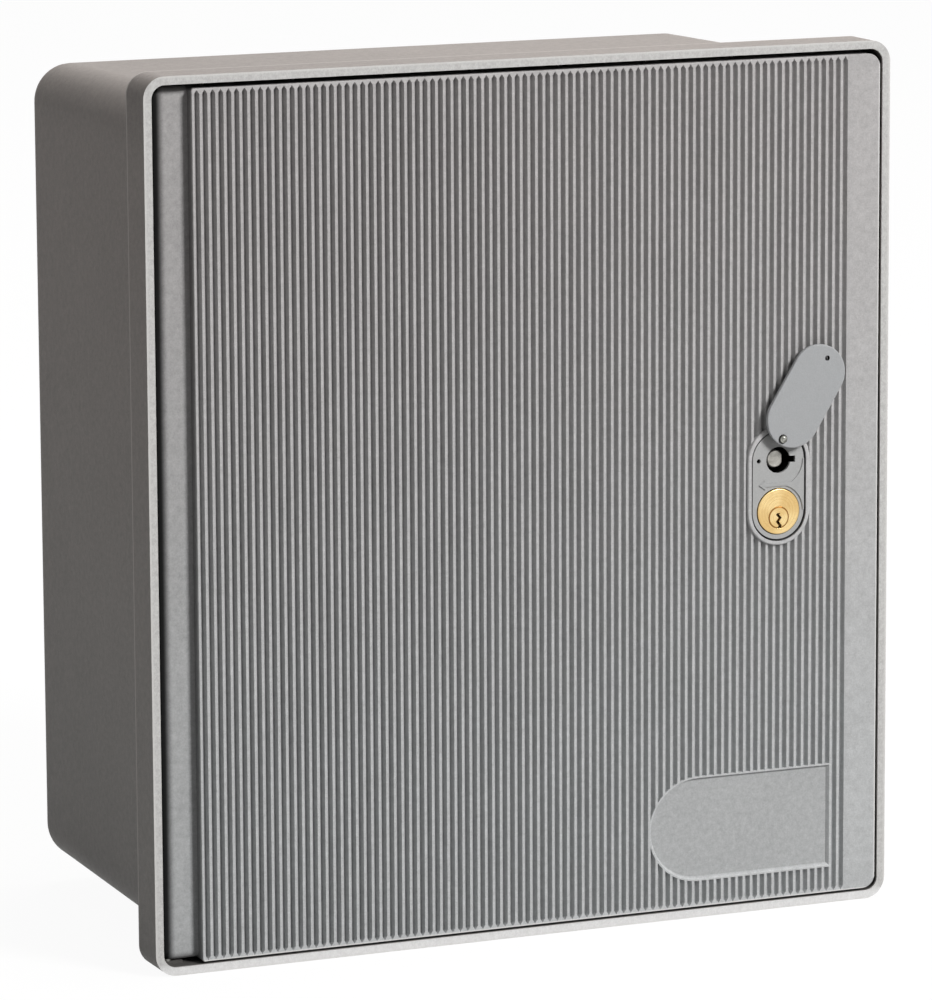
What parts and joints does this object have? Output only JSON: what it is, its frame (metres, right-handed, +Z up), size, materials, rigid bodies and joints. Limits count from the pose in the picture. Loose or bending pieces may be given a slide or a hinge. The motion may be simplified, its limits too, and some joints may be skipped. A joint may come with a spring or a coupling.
{
  "type": "electrical enclosure",
  "caption": "Moulded wall box with a ribbed hinged door, a two-key lock under a swivelling cover plate and an inner mounting board.",
  "frame": {"origin": "centre of the four wall fixing holes, on the outer back face", "axes": "+X right seen from the front, +Y towards the wall, +Z up"},
  "size_m": [0.44, 0.2374, 0.488],
  "materials": {
    "housing_grey": "moulded, satin",
    "door_grey": "moulded, satin",
    "zinc_steel": "zinc plated",
    "lock_grey": "smooth",
    "black_plastic": "moulded",
    "lock_brass": "turned, brushed",
    "spindle_metal": "cast and dull",
    "cover_grey": "satin paint",
    "nickel": "bright nickel",
    "board_grey": "moulded",
    "grommet_rubber": "matt"
  },
  "bodies": {
    "housing": {"housing": "housing_grey", "lower_hinge_pin": "zinc_steel", "upper_hinge_pin": "zinc_steel", "keeper_plate": "zinc_steel", "keeper_screws": "zinc_steel", "meter_board": "board_grey", "board_screws": "zinc_steel", "board_inserts": "lock_brass", "left_cable_grommet": "grommet_rubber", "right_cable_grommet": "grommet_rubber"},
    "door": {"door": "door_grey", "lock_plate": "lock_grey", "lock_case": "black_plastic", "lock_case_screws": "zinc_steel", "cylinder_body": "lock_brass", "cylinder_nut": "lock_brass", "cover_rivet": "nickel", "cover_washer": "zinc_steel"},
    "lock_cover": {"lock_cover": "cover_grey"},
    "cylinder_core": {"cylinder_plug": "lock_brass", "cylinder_cam": "zinc_steel", "cam_screw": "zinc_steel"},
    "latch": {"key_spindle": "spindle_metal", "latch_arm": "zinc_steel", "latch_screw": "zinc_steel"}
  },
  "joints": [
    {"name": "door_hinge", "type": "hinge", "parent": "housing", "child": "door", "pos_m": [-0.2095, -0.2175, 0], "axis": [0, 0, -1], "range_deg": [0, 90]},
    {"name": "cover_swivel", "type": "hinge", "parent": "door", "child": "lock_cover", "pos_m": [0.1522, -0.2343, 0.0253], "axis": [0, 1, 0], "range_deg": [-90, 147]},
    {"name": "plug_turn", "type": "hinge", "parent": "door", "child": "cylinder_core", "pos_m": [0.1522, -0.215, -0.0198], "axis": [0, -1, 0], "range_deg": [0, 90]},
    {"name": "latch_turn", "type": "hinge", "parent": "door", "child": "latch", "pos_m": [0.1522, -0.215, 0.0126], "axis": [0, 1, 0], "range_deg": [0, 90]}
  ]
}
